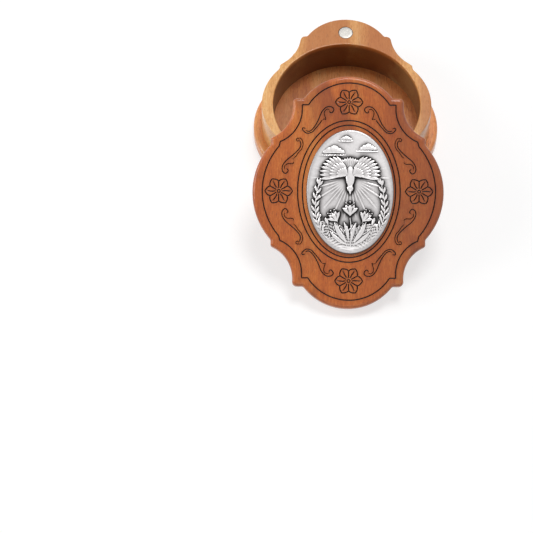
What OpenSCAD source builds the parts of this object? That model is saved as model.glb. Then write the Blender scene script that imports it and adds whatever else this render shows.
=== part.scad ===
// Keepsake box with a loose lid. Two boards with a lobed outline close a ring of paler wood
// whose hollow is a plain round bore. Small disc magnets set flush in the rim and in the
// underside of the lid hold the box shut. The lid carries engraved lines and an oval silver
// medallion. Here the lid is off and leans on the near edge of the rim, its tip on the table.
// Origin: the middle of the base board's underside. X runs across, Y along the box, Z up.

/* [Outline] */
// Width of the lid and the base board across the side lobes
lid_w = 77; // [74:0.5:86]
// Length of the lid and the base board across the end lobes
lid_l = 93.8; // [90:0.2:104]
// Radius of the side lobes
side_lobe_r = 28.5; // [27:0.1:30]
// Radius of the end lobes
end_lobe_r = 22.5; // [21.5:0.1:23.5]
// How far the side lobes stand out past the ledges beside them
side_ledge = 7.4; // [6.8:0.1:8.2]
// How far the end lobes stand out past the shoulders beside them
end_ledge = 8.9; // [8:0.1:9.6]
// Radius of the coves between the lobes
cove_r = 14; // [12.6:0.1:14.6]
// How far a cove's centre lies outside the side ledge
cove_out = 5.2; // [4.6:0.1:6]
// How far a cove's centre lies below the end shoulder
cove_drop = 3.1; // [2.6:0.1:3.8]
// Plan radius of the shoulders' corners
corner_r = 1.8; // [1.7:0.1:2.4]

/* [Boards] */
// Thickness of the base board
base_t = 6; // [5:0.1:8]
// Thickness of the lid board
lid_t = 6; // [5:0.1:8]
// Rounding of the edges that show, on the lid's face and on the base board's top
face_edge_r = 1.5; // [1:0.1:1.6]
// Easing of the edges underneath, on the lid and on the base board
under_edge_r = 0.6; // [0.3:0.1:1]

/* [Ring] */
// Height of the ring between the two boards
wall_h = 15.5; // [13:0.1:22]
// How far the ring stands back from the boards' outline
wall_inset = 3.4; // [2.8:0.1:3.8]
// Wood left round the hollow where it comes nearest to the ring's outside
wall_web = 2.55; // [2:0.05:4]
// Easing of the rim's edges
rim_ease = 0.4; // [0.2:0.1:0.8]
// Easing of the ring's lower outer edge, which shows as a fine seam on the base board
seam_ease = 0.2; // [0.1:0.1:0.4]

/* [Magnets] */
// Diameter of the disc magnets
magnet_d = 6; // [4:0.1:7]
// Thickness of the disc magnets
magnet_t = 2; // [1.5:0.1:2.5]
// How far in from the middle of the ring's end, between hollow and outside, a magnet sits
magnet_in = 0.45; // [0:0.05:0.8]
// Clearance round a magnet in its pocket
magnet_fit = 0.05; // [0.02:0.01:0.1]
// Easing of a magnet's edges
magnet_ease = 0.3; // [0.1:0.1:0.4]

/* [Medallion] */
// Width of the oval medallion
medal_w = 35; // [32:0.5:37]
// Length of the oval medallion
medal_l = 50; // [46:0.5:52]
// Thickness of the medallion at its edge
medal_edge_t = 1.2; // [0.8:0.1:2]
// Rise of the medallion's domed face above its edge
medal_dome = 0.7; // [0.4:0.1:1.2]
// Height of the relief on the dome
relief_h = 0.6; // [0.3:0.1:1]
// Height of the dove's middle above the medallion's middle
dove_y = 5.5; // [3:0.5:7]
// Length of the dove's body
dove_l = 8; // [6:0.5:9]
// Width of the dove's body
dove_w = 3.6; // [3:0.1:4.5]
// Diameter of the dove's head
head_d = 2.6; // [2:0.1:3.2]
// Length of the dove's tail
tail_l = 5.6; // [4:0.1:6.5]
// Width of the dove's tail
tail_w = 4.4; // [3:0.1:5.5]
// Length of the dove's wings
wing_l = 12; // [9:0.5:13]
// Width of the dove's wings
wing_w = 5; // [3.5:0.1:6]
// Angle at which the wings rise from the body
wing_rise = 24; // [15:1:35]
// Height of the middle lily above the medallion's middle
lily_y = -8; // [-10:0.5:-6]
// Length of a lily
lily_l = 5.5; // [4:0.5:6]
// Width of a lily
lily_w = 4.3; // [3:0.1:4.8]
// Distance from the middle lily across to each of the others
lily_spread = 6; // [5:0.1:7]
// Angle at which the outer lilies and the leaves lean
lily_fan = 32; // [20:1:40]
// Length of a leaf under the lilies
leaf_l = 8.2; // [6:0.1:9]
// Width of a leaf under the lilies
leaf_w = 2; // [1.5:0.1:2.6]
// Width of the plain bevel round the medallion's edge
medal_bevel = 0.6; // [0.3:0.1:1]
// How far right of the middle the medallion was glued
medal_shift = 0.75; // [0:0.05:1]

/* [Engraving] */
// Depth of the engraved lines
line_depth = 0.35; // [0.2:0.05:0.6]
// Width of the engraved lines
line_w = 0.5; // [0.3:0.05:0.7]
// Inset of the border line from the outline
border_inset = 3.4; // [3:0.1:4]
// How much wider than the outline's coves the border line's coves are drawn
border_cove_extra = 0.3; // [0:0.1:0.8]
// Gap between the medallion's oval and the inner oval line, at the sides
inner_line_gap = 1.2; // [1:0.05:1.5]
// Gap between the inner and the outer oval line
oval_line_pitch = 1.9; // [1.5:0.05:2.2]
// How much further both oval lines stand off at their ends
oval_end_extra = 0.5; // [0:0.05:0.8]
// Distance from the end of the lid to the centre of the end flower
end_flower_inset = 10.8; // [10.2:0.1:11.4]
// Distance from the side of the lid to the centre of the side flower
side_flower_inset = 10.3; // [9.8:0.1:10.6]
// Radius of a flower over its petals
flower_r = 5.3; // [4.8:0.1:5.6]
// Number of petals
petals = 6; // [5:1:7]
// Width of a petal
petal_w = 3; // [2.6:0.1:3.2]
// Radius of the ring at the heart of a flower
heart_r = 0.8; // [0.6:0.1:1]
// Radius of the curl of a scroll beside a flower
curl_r = 1; // [0.8:0.05:1.1]

/* [Lean] */
// Angle at which the loose lid leans, far end up
lid_lean = 27.2; // [22:0.1:32]
// Gap between the lid's underside and the rim that it leans on
lean_gap = 0.1; // [0.05:0.05:0.3]

/* [Hidden] */
$fn = 96;

// Cutting bodies run past the faces that they cut by this much
over = 1;
side_lobe_x = lid_w / 2 - side_lobe_r;
end_lobe_y = lid_l / 2 - end_lobe_r;
side_ledge_x = lid_w / 2 - side_ledge;
shoulder_y = lid_l / 2 - end_ledge;
cove_x = side_ledge_x + cove_out;
cove_y = shoulder_y - cove_drop;
shoulder_x = cove_x - cove_r;

box_h = base_t + wall_h;
rim_end_y = lid_l / 2 - wall_inset;
cavity_r = min(lid_w / 2, norm([cove_x, cove_y]) - cove_r) - wall_inset - wall_web;
magnet_r = magnet_d / 2;
magnet_y = (cavity_r + rim_end_y) / 2 - magnet_in;
medal_face_w = medal_w - 2 * medal_bevel;
medal_face_l = medal_l - 2 * medal_bevel;

end_flower_y = lid_l / 2 - end_flower_inset;
side_flower_x = lid_w / 2 - side_flower_inset;
petal_in = heart_r + line_w / 2;
petal_half = (flower_r - petal_in) / 2;
petal_mid = (flower_r + petal_in) / 2;
petal_arc_r = (petal_half ^ 2 + (petal_w / 2) ^ 2) / petal_w;
// The finer lines inside a flower: the veins and the ring at its heart
vein_w = line_w / 2;

// Scrolls: where each starts, on the quarter where X and Y are positive, its first heading, and
// its arcs from the curl by the cove to the curl by the flower, each [radius, angle]
end_scroll_at = [shoulder_x - 5.3, shoulder_y - 12.1];
end_scroll_heading = 45;
end_scroll = [[0.7, -165], [2.4, -115], [20, -20], [4.2, 75], [curl_r, 240]];
side_scroll_at = [side_flower_x - 8.2, 20.7];
side_scroll_heading = -30;
side_scroll = [[0.65, 210], [1.7, 75], [4.7, 65], [30, 6], [30, -8], [2.9, -88], [curl_r, -190]];

// A scroll's arcs are drawn in straight pieces that turn by this angle or less
trail_step = 20;

// The leaning lid: the rounded lower edge of its tip stands on the table, and its underside
// passes the top of the rim's near end at the lean gap
lean_z = under_edge_r * (1 - cos(lid_lean)) + (lid_l / 2 - under_edge_r) * sin(lid_lean);
lean_y = -rim_end_y - ((box_h - lean_z) * cos(lid_lean) + lean_gap) / sin(lid_lean);

wood_lid = [0.66, 0.36, 0.2];
wood_ring = [0.86, 0.66, 0.45];
steel = [0.86, 0.86, 0.88];
silver = [0.75, 0.75, 0.78];

// A bar's section standing on the X axis, its corners rounded by low_r below and high_r above
module eased_bar(w, t, low_r, high_r) {
    translate([-w / 2, low_r])
        square([w, t - low_r - high_r]);
    translate([-w / 2 + low_r, 0])
        square([w - 2 * low_r, low_r]);
    translate([-w / 2 + high_r, t - high_r])
        square([w - 2 * high_r, high_r]);
    for (side = [-1, 1]) {
        translate([side * (w / 2 - low_r), low_r])
            circle(r = low_r);
        translate([side * (w / 2 - high_r), t - high_r])
            circle(r = high_r);
    }
}

// Round disc with eased edges
module eased_disc(r, t, low_r, high_r) {
    rotate_extrude()
        intersection() {
            eased_bar(2 * r, t, low_r, high_r);
            square([r, t]);
        }
}

// Straight block of length l along Y whose two long sides have eased edges
module eased_block(w, l, t, low_r, high_r) {
    translate([0, l / 2, 0])
        rotate([90, 0, 0])
            linear_extrude(l)
                eased_bar(w, t, low_r, high_r);
}

// What a cove takes away: a round hole that flares where the wood's edges are eased
module cove_cut(r, t, low_r, high_r) {
    flare = max(low_r, high_r) + over / 2;
    rotate_extrude()
        difference() {
            translate([0, -over])
                square([r + flare, t + 2 * over]);
            translate([r + 2 * flare, 0])
                eased_bar(4 * flare, t, low_r, high_r);
        }
}

// The lobed outline as a solid plate, drawn in by inset, with eased edges
module lobed_plate(inset, t, low_r, high_r) {
    for (side = [-1, 1]) {
        translate([side * side_lobe_x, 0, 0])
            eased_disc(side_lobe_r - inset, t, low_r, high_r);
        translate([0, side * end_lobe_y, 0])
            eased_disc(end_lobe_r - inset, t, low_r, high_r);
    }
    difference() {
        eased_block(2 * (side_ledge_x - inset), 2 * min(cove_y, shoulder_y - inset), t, low_r, high_r);
        for (sx = [-1, 1], sy = [-1, 1])
            translate([sx * cove_x, sy * cove_y, 0])
                cove_cut(cove_r + inset, t, low_r, high_r);
    }
    shoulder_block(2 * (shoulder_x - inset), 2 * (shoulder_y - inset), t, low_r, high_r);
}

// The block between the two end shoulders, its four corners rounded in plan
module shoulder_block(w, l, t, low_r, high_r) {
    eased_block(w, l - 2 * corner_r, t, low_r, high_r);
    rotate([0, 0, 90])
        eased_block(l, w - 2 * corner_r, t, low_r, high_r);
    for (sx = [-1, 1], sy = [-1, 1])
        translate([sx * (w / 2 - corner_r), sy * (l / 2 - corner_r), 0])
            eased_disc(corner_r, t, low_r, high_r);
}

// The lobed outline in the flat, drawn in by inset. Its coves grow by cove_grow and move in
// towards the middle by cove_in
module lobed_plan(inset, cove_grow, cove_in) {
    cove_at = [cove_x - cove_in, cove_y - cove_in / 2];
    block_x = cove_at.x - cove_r - cove_grow;
    for (side = [-1, 1]) {
        translate([side * side_lobe_x, 0])
            circle(r = side_lobe_r - inset);
        translate([0, side * end_lobe_y])
            circle(r = end_lobe_r - inset);
    }
    difference() {
        square([2 * (side_ledge_x - inset), 2 * cove_at.y], center = true);
        for (sx = [-1, 1], sy = [-1, 1])
            translate([sx * cove_at.x, sy * cove_at.y])
                circle(r = cove_r + cove_grow);
    }
    square([2 * block_x, 2 * (shoulder_y - inset)], center = true);
}

// Blind pocket for a magnet, its floor magnet_t below the face at z = 0
module magnet_pocket() {
    translate([0, 0, -magnet_t])
        cylinder(r = magnet_r + magnet_fit, h = magnet_t + over);
}

// A disc magnet whose face lies at z = 0
module disc_magnet() {
    color(steel)
        translate([0, 0, -magnet_t])
            eased_disc(magnet_r, magnet_t, magnet_ease, magnet_ease);
}

// Grooves are cut down from z = 0, the lid's face
module groove() {
    translate([0, 0, -line_depth])
        linear_extrude(line_depth + over)
            children();
}

// Oval ring between two ellipses, line_w wide, whose middle lies at half axes a and b
module oval_line(a, b) {
    difference() {
        scale([1, (b + line_w / 2) / (a + line_w / 2)])
            circle(r = a + line_w / 2);
        scale([1, (b - line_w / 2) / (a - line_w / 2)])
            circle(r = a - line_w / 2);
    }
}

// A petal's lens shape along X, drawn in by inset
module petal(inset) {
    intersection_for(side = [-1, 1])
        translate([petal_mid, side * (petal_arc_r - petal_w / 2)])
            circle(r = petal_arc_r - inset);
}

// A flower: the petals' outlines, a vein in each, and a ring at the heart
module flower() {
    for (i = [0 : petals - 1])
        rotate(360 / petals * i) {
            difference() {
                petal(0);
                petal(line_w);
            }
            translate([petal_in + 2 * vein_w, -vein_w / 2])
                square([petal_half, vein_w]);
        }
    difference() {
        circle(r = heart_r + vein_w / 2);
        circle(r = heart_r - vein_w / 2);
    }
}

// Points along a line made of arcs joined end to end, each [point, heading]. Each step is
// [radius, angle], where a negative angle turns right
function arc_trail(steps, at, heading, i = 0) =
    i == len(steps) ? [[at, heading]] :
    let (
        r = sign(steps[i][1]) * steps[i][0],
        turn = steps[i][1],
        centre = at + r * [-sin(heading), cos(heading)],
        parts = ceil(abs(turn) / trail_step),
        headings = [for (k = [0 : parts - 1]) heading + turn * k / parts],
        leaves = heading + turn
    )
    concat([for (h = headings) [centre + r * [sin(h), -cos(h)], h]],
           arc_trail(steps, centre + r * [sin(leaves), -cos(leaves)], leaves, i + 1));

// A line line_w wide along the points of a trail
module trail_line(trail) {
    edge = [for (stop = trail) line_w / 2 * [-sin(stop[1]), cos(stop[1])]];
    last = len(trail) - 1;
    polygon(concat([for (k = [0 : last]) trail[k][0] + edge[k]],
                   [for (k = [0 : last]) trail[last - k][0] - edge[last - k]]));
}

// The scroll beside an end flower and the one beside a side flower, on the quarter of the lid
// where X and Y are both positive
module scroll_pair() {
    groove()
        trail_line(arc_trail(end_scroll, end_scroll_at, end_scroll_heading));
    groove()
        trail_line(arc_trail(side_scroll, side_scroll_at, side_scroll_heading));
}

module engraving() {
    groove()
        difference() {
            lobed_plan(border_inset - line_w / 2, border_cove_extra - line_w / 2, border_inset);
            lobed_plan(border_inset + line_w / 2, border_cove_extra + line_w / 2, border_inset);
        }
    for (gap = [inner_line_gap, inner_line_gap + oval_line_pitch])
        groove()
            oval_line(medal_w / 2 + gap, medal_l / 2 + gap + oval_end_extra);
    for (side = [-1, 1]) {
        translate([0, side * end_flower_y, 0])
            groove()
                flower();
        translate([side * side_flower_x, 0, 0])
            groove()
                flower();
    }
    for (mx = [0, 1], my = [0, 1])
        mirror([mx, 0, 0])
            mirror([0, my, 0])
                scroll_pair();
}

// Height of the medallion's domed face above the lid's face, at a point of the medallion
function face_z(x, y) =
    medal_edge_t + medal_dome * sqrt(1 - (2 * x / medal_face_w) ^ 2 - (2 * y / medal_face_l) ^ 2);

// One rounded form of the relief, len along its own length, turned by angle
module relief_form(x, y, len, wide, angle) {
    translate([x, y, face_z(x, y)])
        rotate([0, 0, angle])
            scale([len / 2, wide / 2, relief_h])
                sphere(r = 1, $fn = 48);
}

// A dove coming down head first, its parts overlapping where they join
module dove() {
    relief_form(0, dove_y, dove_l, dove_w, 90);
    relief_form(0, dove_y - (dove_l + head_d / 4) / 2, head_d, head_d, 90);
    relief_form(0, dove_y + (dove_l + tail_l / 4) / 2, tail_l, tail_w, 90);
    for (side = [-1, 1])
        relief_form(side * wing_l / 2 * cos(wing_rise), dove_y + wing_l / 2 * sin(wing_rise),
                    wing_l, wing_w, side * wing_rise);
}

// A spray of three lilies over two leaves, which rises from the foot of the oval
module lily_spray() {
    relief_form(0, lily_y, lily_l, lily_w, 90);
    for (side = [-1, 1]) {
        relief_form(side * lily_spread, lily_y - lily_l / 2, lily_l, lily_w, 90 - side * lily_fan);
        relief_form(side * leaf_l / 2, lily_y - leaf_l, leaf_l, leaf_w, 90 - side * lily_fan);
    }
}

// Places a piece of the lid, drawn with the lid flat and its underside at z = 0
module leaning() {
    translate([0, lean_y, lean_z])
        rotate([lid_lean, 0, 0])
            children();
}

module base_board() {
    color(wood_lid)
        lobed_plate(0, base_t, under_edge_r, face_edge_r);
}

module wall_ring() {
    color(wood_ring)
        translate([0, 0, base_t])
            difference() {
                lobed_plate(wall_inset, wall_h, seam_ease, rim_ease);
                translate([0, 0, -over])
                    cylinder(r = cavity_r, h = wall_h + 2 * over, $fn = 180);
                translate([0, 0, wall_h - rim_ease])
                    cylinder(r1 = cavity_r, r2 = cavity_r + rim_ease + over, h = rim_ease + over, $fn = 180);
                for (side = [-1, 1])
                    translate([0, side * magnet_y, wall_h])
                        magnet_pocket();
            }
}

module box_magnet_far() {
    translate([0, magnet_y, box_h])
        disc_magnet();
}

module box_magnet_near() {
    translate([0, -magnet_y, box_h])
        disc_magnet();
}

module lid_board() {
    color(wood_lid)
        leaning()
            difference() {
                lobed_plate(0, lid_t, under_edge_r, face_edge_r);
                for (side = [-1, 1])
                    translate([0, side * magnet_y, 0])
                        mirror([0, 0, 1])
                            magnet_pocket();
                translate([0, 0, lid_t])
                    engraving();
            }
}

module medallion() {
    color(silver)
        leaning()
            translate([medal_shift, 0, lid_t]) {
                scale([medal_w / medal_l, 1, 1])
                    cylinder(d = medal_l, h = medal_edge_t);
                translate([0, 0, medal_edge_t])
                    scale([medal_face_w / medal_face_l, 1, medal_dome / (medal_face_l / 2)])
                        sphere(d = medal_face_l);
                dove();
                lily_spray();
            }
}

module lid_magnet_far() {
    leaning()
        translate([0, magnet_y, 0])
            mirror([0, 0, 1])
                disc_magnet();
}

module lid_magnet_near() {
    leaning()
        translate([0, -magnet_y, 0])
            mirror([0, 0, 1])
                disc_magnet();
}

base_board();
wall_ring();
box_magnet_far();
box_magnet_near();
lid_board();
medallion();
lid_magnet_far();
lid_magnet_near();
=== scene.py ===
# %% [markdown]
# # A small wooden keepsake box with a loose lid
# This lesson dresses a measured model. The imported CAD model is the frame: every piece made here is
# in metres, in the same frame, and stands where the frame says.
# The real box is three pieces of wood, cut on a router round one lobed template: a base board, a
# ring with a round hollow, and a lid with engraved lines. A stamped silver oval is glued on the
# lid, and disc magnets in the rim and under the lid keep the box shut.

# %% The frame
import math

import bmesh
import bpy
import numpy as np
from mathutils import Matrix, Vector, geometry
from mathutils.bvhtree import BVHTree
from mathutils.kdtree import KDTree


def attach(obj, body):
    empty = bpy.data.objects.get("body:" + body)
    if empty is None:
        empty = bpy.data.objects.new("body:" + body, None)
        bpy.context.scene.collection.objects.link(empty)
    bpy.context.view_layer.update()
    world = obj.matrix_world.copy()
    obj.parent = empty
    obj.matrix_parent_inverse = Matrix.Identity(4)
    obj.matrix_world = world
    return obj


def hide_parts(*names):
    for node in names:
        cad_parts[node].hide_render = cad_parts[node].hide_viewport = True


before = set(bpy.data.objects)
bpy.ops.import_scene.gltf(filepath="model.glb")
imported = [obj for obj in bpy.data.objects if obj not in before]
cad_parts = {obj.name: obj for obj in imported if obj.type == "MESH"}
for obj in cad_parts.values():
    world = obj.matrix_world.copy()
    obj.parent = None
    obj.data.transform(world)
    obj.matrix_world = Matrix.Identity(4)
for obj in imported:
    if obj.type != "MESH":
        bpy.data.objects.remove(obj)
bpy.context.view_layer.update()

print("frame:", sorted(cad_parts))

# %% [markdown]
# ## The camera
# The picture was taken from in front and well above, with a long lens. The place and the lens were
# worked out from the outline of the lid, the rim and the magnet, whose sizes are known. The camera
# comes first, because every later choice is judged through it.

# %% The camera
MM = 0.001
PICTURE = 533            # pixels on each side
FOCAL = 2457.7           # focal length in those pixels
SENSOR = 36.0            # mm
ELEVATION, AZIMUTH = math.radians(58.55), math.radians(0.385)
DISTANCE = 1000 * MM
LOOK_AT = Vector((-32.67, -66.08, 0.0)) * MM

lens = bpy.data.cameras.new("Long_lens")
lens.lens, lens.sensor_width = SENSOR * FOCAL / PICTURE, SENSOR
lens.clip_start, lens.clip_end = 0.01, 20
camera = bpy.data.objects.new("Camera", lens)
bpy.context.scene.collection.objects.link(camera)
level = math.cos(ELEVATION)
back = Vector((math.sin(AZIMUTH) * level, -math.cos(AZIMUTH) * level, math.sin(ELEVATION)))
camera.location = LOOK_AT + back * DISTANCE
camera.rotation_euler = (math.pi / 2 - ELEVATION, 0, AZIMUTH)
bpy.context.scene.camera = camera
bpy.context.scene.view_settings.view_transform = "Standard"
print(f"lens {lens.lens:.1f} mm")

# %% [markdown]
# ## Sizes
# These are the maker's sizes in millimetres. The outline is drawn from arcs: side lobes, end lobes,
# and a cove in each corner with a small ledge and a small rounded shoulder beside it.

# %% Sizes of the box, mm
LID_W, LID_L, SIDE_R, END_R = 77.0, 93.8, 28.5, 22.5
SIDE_X, END_Y = LID_W / 2 - SIDE_R, LID_L / 2 - END_R
LEDGE_X, SHOULDER_Y = LID_W / 2 - 7.4, LID_L / 2 - 8.9
COVE_R, COVE_X, COVE_Y, CORNER_R = 14.0, LEDGE_X + 5.2, SHOULDER_Y - 3.1, 1.8
BASE_T, LID_T, WALL_H = 6.0, 6.0, 15.5
FACE_EDGE_R, UNDER_EDGE_R, RIM_EASE, SEAM_EASE = 1.5, 0.6, 0.4, 0.2
WALL_INSET, HOLLOW_R = 3.4, 30.407
MAGNET_R, MAGNET_T, MAGNET_Y, MAGNET_FIT = 3.0, 2.0, 36.5, 0.08
MEDAL_W, MEDAL_L, MEDAL_X = 35.0, 50.0, 0.75
BOX_H = BASE_T + WALL_H
HAIR = 0.012             # the boards stay this much inside the measured ones
print(f"closed box: {LID_W} by {LID_L} by {BOX_H + LID_T} mm")

# %% [markdown]
# ## How the lid lies
# The lid is off. It leans on the near edge of the rim and its tip stands on the table. Pieces of
# the lid are drawn flat, with the underside at zero, and one function lays them in place.

# %% The leaning lid
LEAN = math.radians(27.2)
LEAN_GAP = 0.1
lean_z = UNDER_EDGE_R * (1 - math.cos(LEAN)) + (LID_L / 2 - UNDER_EDGE_R) * math.sin(LEAN)
lean_y = -(LID_L / 2 - WALL_INSET) - ((BOX_H - lean_z) * math.cos(LEAN) + LEAN_GAP) / math.sin(LEAN)


def leaning(points):
    """Points of the lid, drawn flat, where the lid lies."""
    x, y, z = np.asarray(points, float).T
    return np.stack([x, lean_y + y * math.cos(LEAN) - z * math.sin(LEAN),
                     lean_z + y * math.sin(LEAN) + z * math.cos(LEAN)], axis=1)


def standing(points):
    """Points of the box itself, which are drawn in place."""
    return np.asarray(points, float)


print(f"middle of the lid's underside at y {lean_y:.2f}, z {lean_z:.2f} mm")

# %% [markdown]
# ## Building materials from nodes
# A material is a tree of nodes. One function adds any node, sets its properties and joins or fills
# its inputs, so that the trees below read as a list of steps. Colours are written as the hex values
# that a paint program shows, and one function turns them to the renderer's linear values.

# %% Helpers for nodes and colours


def add(tree, kind, inputs=(), **settings):
    """Adds a node with its properties. Inputs are values, sockets, or nodes for their first output."""
    made = tree.nodes.new(kind)
    for name, value in settings.items():
        setattr(made, name, value)
    for name, value in dict(inputs).items():
        if isinstance(value, bpy.types.Node):
            value = value.outputs[0]
        if isinstance(value, bpy.types.NodeSocket):
            tree.links.new(value, made.inputs[name])
        else:
            made.inputs[name].default_value = value
    return made


def tone(code):
    """Linear colour of an sRGB hex value."""
    parts = [int(code[i:i + 2], 16) / 255 for i in (0, 2, 4)]
    return [c / 12.92 if c <= 0.04045 else ((c + 0.055) / 1.055) ** 2.4 for c in parts] + [1.0]


def finish_of(name):
    """An empty material and its tree."""
    made = bpy.data.materials.new(name)
    made.use_nodes = True
    made.node_tree.nodes.clear()
    return made, made.node_tree


def ramp(tree, fac, stops):
    """A colour ramp through (position, hex colour) stops."""
    made = add(tree, "ShaderNodeValToRGB", {"Fac": fac})
    band = made.color_ramp
    while len(band.elements) < len(stops):
        band.elements.new(0.5)
    for element, (place, code) in zip(band.elements, stops):
        element.position, element.color = place, tone(code)
    return made.outputs["Color"]


# %% [markdown]
# ## Wood
# All three pieces are a close-grained fruit wood, sawn with the grain along the box, routed and
# sanded, then stained and given a satin varnish. The ring is of a paler board that took less stain.
# The figure is solid: it is worked out from the place in the wood, not laid on as a picture, so it
# runs through from a face to an edge as in real wood. Slow bands, cloudy patches where the stain
# took unevenly, fine fibres, a mottle and short dark pores are added together. Darker heartwood
# lies along the right half of the lid and in streaks along the ring. Varnish is a clear coat over
# it all.

# %% Sizes of the figure: across and along the grain, mm
BANDS, CLOUDS, FIBRES, MOTTLE, PORES = (9, 120), (11, 26), (0.45, 6), (0.9, 2.2), (0.33, 2.4)
WAVE = 14.0                     # how far the bands push a streak of heartwood sideways
STREAKS_FROM, STREAKS_TO = -31.0, 45.0      # the width over which streaks are given, wave included
VARNISH, GRAIN_DEPTH = 0.6, 0.03

# %% Wood


def satin_wood(name, figure, heart, stain, pore_colour, patches, lean=0.0, shift=(0.0, 0.0, 0.0)):
    """Routed, sanded and stained fruit wood under satin varnish. The grain runs along the box."""
    made, tree = finish_of(name)
    place = add(tree, "ShaderNodeTexCoord").outputs["Object"]
    # Millimetres in the board's own frame, which turns with the lid
    board = add(tree, "ShaderNodeMapping", {
        "Vector": place, "Rotation": (-lean, 0, 0), "Scale": (1 / MM,) * 3})

    def stretched(grain, detail, distortion=0.0, rough=0.5):
        """Noise whose grains have that size across and along the board."""
        across, along = grain
        sized = add(tree, "ShaderNodeMapping", {
            "Vector": board, "Location": shift, "Scale": (1 / across, 1 / along, 1 / across)})
        return add(tree, "ShaderNodeTexNoise", {
            "Vector": sized, "Scale": 1.0, "Detail": detail, "Roughness": rough, "Distortion": distortion})

    def mixed(share, colour, other):
        """A colour with a share of another laid over it."""
        inputs = {0: share, 6: colour, 7: tone(other)}
        return add(tree, "ShaderNodeMix", inputs, data_type="RGBA").outputs[2]

    bands = stretched(BANDS, 3, 0.6)
    fibres = stretched(FIBRES, 4, 0.2, 0.7)
    mottle = stretched(MOTTLE, 3, 0.5, 0.7)
    slow = add(tree, "ShaderNodeMath", {0: bands, 1: 0.45}, operation="MULTIPLY")
    fine = add(tree, "ShaderNodeMath", {0: fibres, 1: 0.3, 2: slow}, operation="MULTIPLY_ADD")
    level = add(tree, "ShaderNodeMath", {0: mottle, 1: 0.25, 2: fine}, operation="MULTIPLY_ADD")
    # Heartwood lies in streaks along the board, whose edges the bands make a little uneven
    across = add(tree, "ShaderNodeSeparateXYZ", {"Vector": board})
    wavy = add(tree, "ShaderNodeMath", {0: bands, 1: WAVE, 2: across}, operation="MULTIPLY_ADD")
    width = add(tree, "ShaderNodeMapRange", {
        "Value": wavy, "From Min": STREAKS_FROM, "From Max": STREAKS_TO})
    colour = mixed(ramp(tree, width, heart), ramp(tree, level, figure), stain)
    cloud = add(tree, "ShaderNodeMapRange", {
        "Value": stretched(CLOUDS, 3, 0.5), "From Min": 0.5, "From Max": 0.7, "To Max": patches},
        interpolation_type="SMOOTHSTEP")
    colour = mixed(cloud.outputs[0], colour, stain)
    # Pores are open vessels where stain gathers, drawn coarser than real ones so that they show
    pore = add(tree, "ShaderNodeMapRange", {
        "Value": stretched(PORES, 2), "From Min": 0.60, "From Max": 0.72, "To Max": 0.5}).outputs[0]
    # The attribute is 1 in the burnt engraving, 0 on bare faces, and between in the hollow, where it is
    # painted shade. Both darken the wood towards 1C0805 and thin its varnish
    burn_and_shade = add(tree, "ShaderNodeAttribute", attribute_name="burn_and_shade").outputs["Fac"]
    colour = mixed(burn_and_shade, mixed(pore, colour, pore_colour), "1C0805")
    relief = add(tree, "ShaderNodeMath", {0: pore, 1: -1.2, 2: fibres}, operation="MULTIPLY_ADD")
    bump = add(tree, "ShaderNodeBump", {"Strength": 0.35, "Distance": GRAIN_DEPTH * MM, "Height": relief})
    gloss = add(tree, "ShaderNodeMapRange", {"Value": fibres, "To Min": 0.38, "To Max": 0.52})
    varnish = add(tree, "ShaderNodeMapRange", {"Value": burn_and_shade, "To Min": VARNISH, "To Max": 0.0})
    shader = add(tree, "ShaderNodeBsdfPrincipled", {
        "Base Color": colour, "Roughness": gloss, "Specular IOR Level": 0.3, "Coat Weight": varnish,
        "Coat Roughness": 0.16, "Normal": bump})
    add(tree, "ShaderNodeOutputMaterial", {"Surface": shader})
    return made


# %% The three boards
STAINED = ((0.36, "A84A10"), (0.47, "C0601C"), (0.53, "CC6C24"), (0.64, "DC8438"))
MIDDLE = ((0.36, "C26832"), (0.47, "DE8846"), (0.53, "E89854"), (0.64, "F4B26A"))
PALE = ((0.36, "BE7C34"), (0.47, "E09E56"), (0.53, "EAAE66"), (0.64, "F8CA88"))
# Share of heartwood from the left edge to the right edge: black is none and white is all
RIGHT_HALF = ((0.5, "000000"), (1.0, "C8C8C8"))
NO_HEART = ((0.0, "000000"), (1.0, "000000"))
RING_STREAKS = (
    (0.22, "101010"), (0.29, "E0E0E0"), (0.49, "D8D8D8"), (0.53, "8C8C8C"), (0.57, "8C8C8C"),
    (0.62, "E4E4E4"), (0.74, "E8E8E8"), (0.79, "101010"), (0.87, "202020"), (0.92, "D0D0D0"))
lid_wood = satin_wood(
    "Stained_pear_wood_lid", STAINED, RIGHT_HALF, "702A0C", "5E2610", 0.5, LEAN, (3.3, 1.4, 2.2))
base_wood = satin_wood(
    "Stained_pear_wood_base", MIDDLE, NO_HEART, "94502A", "5E2610", 0.4, 0.0, (3.1, 5.7, 1.3))
ring_wood = satin_wood("Pale_pear_wood_ring", PALE, RING_STREAKS, "B26022", "84481C", 0.3)
print("wood:", lid_wood.name, base_wood.name, ring_wood.name)

# %% [markdown]
# ## Metals
# The oval is thin metal, stamped, silvered and then antiqued: dark tarnish is left in the hollows
# and rubbed off the high places. The mesh carries that as an attribute, worked out from its own
# relief, and the same attribute paints shade down the oval's rounded edge towards the wood. The
# magnets are plated with nickel, which is a little warmer, and their flat faces are
# slightly grainy from tumbling in the plating barrel.

# %% Silver and nickel
RUB_MARK = 0.8                  # mm across
PLATING_GRAIN = 0.35            # mm across, coarser than the real one so that it shows


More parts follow.
